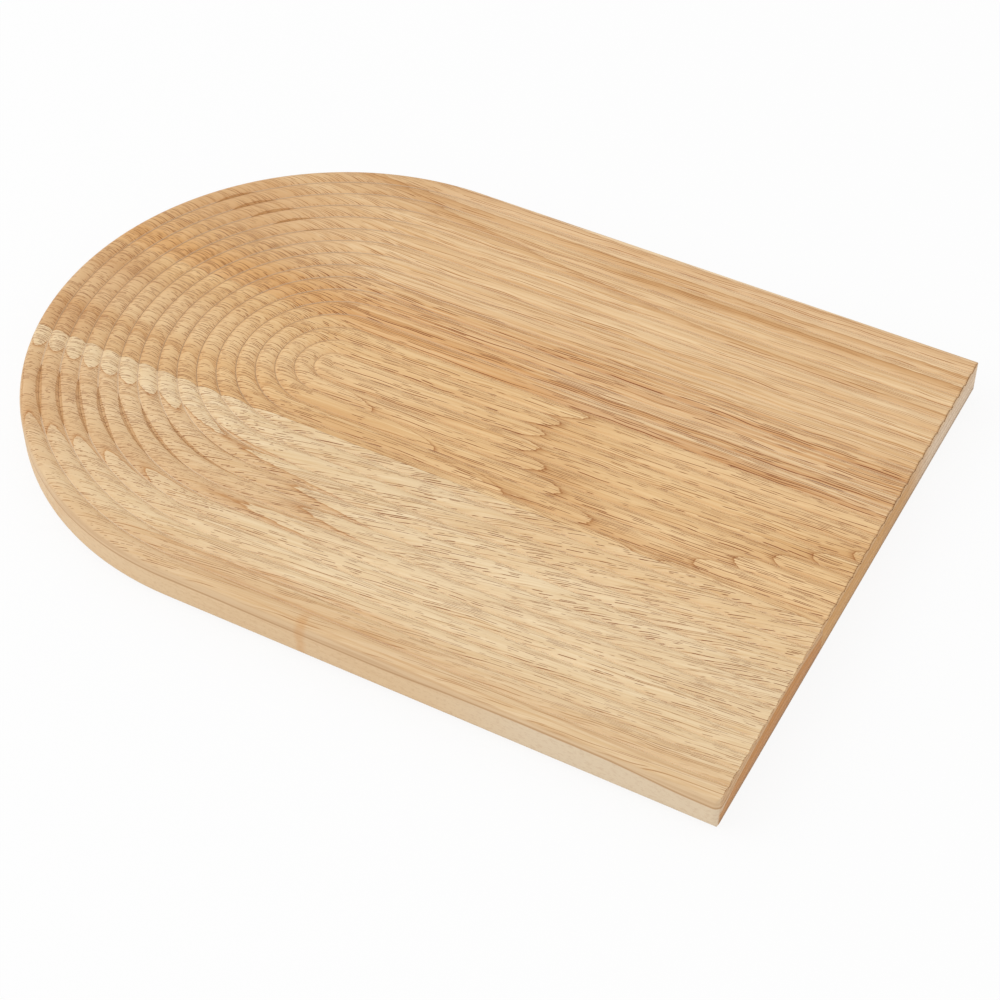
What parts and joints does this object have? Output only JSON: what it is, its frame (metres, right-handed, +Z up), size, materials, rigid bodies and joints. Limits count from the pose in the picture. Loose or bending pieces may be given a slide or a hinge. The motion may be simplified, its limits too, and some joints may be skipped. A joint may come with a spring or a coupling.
{
  "type": "serving board",
  "caption": "Flat wooden serving board with an arched end, a square end and a top of rounded reeds that follow its outline, for carrying and presenting food.",
  "frame": {"origin": "on the underside, under the middle of the board's length and width", "axes": "+X along the length to the square end, with the arch at -X; +Y across the width to the back edge; +Z up out of the reeded top"},
  "size_m": [0.381, 0.27, 0.02],
  "materials": {
    "pale_wood": "oiled, fine open pores, pale with a brown patch in the arch",
    "figured_wood": "oiled, fine open pores, looped growth rings",
    "golden_wood": "oiled, fine open pores, straight grain"
  },
  "bodies": {
    "root": {"front_stave": "pale_wood", "middle_stave": "figured_wood", "back_stave": "golden_wood"}
  },
  "joints": []
}
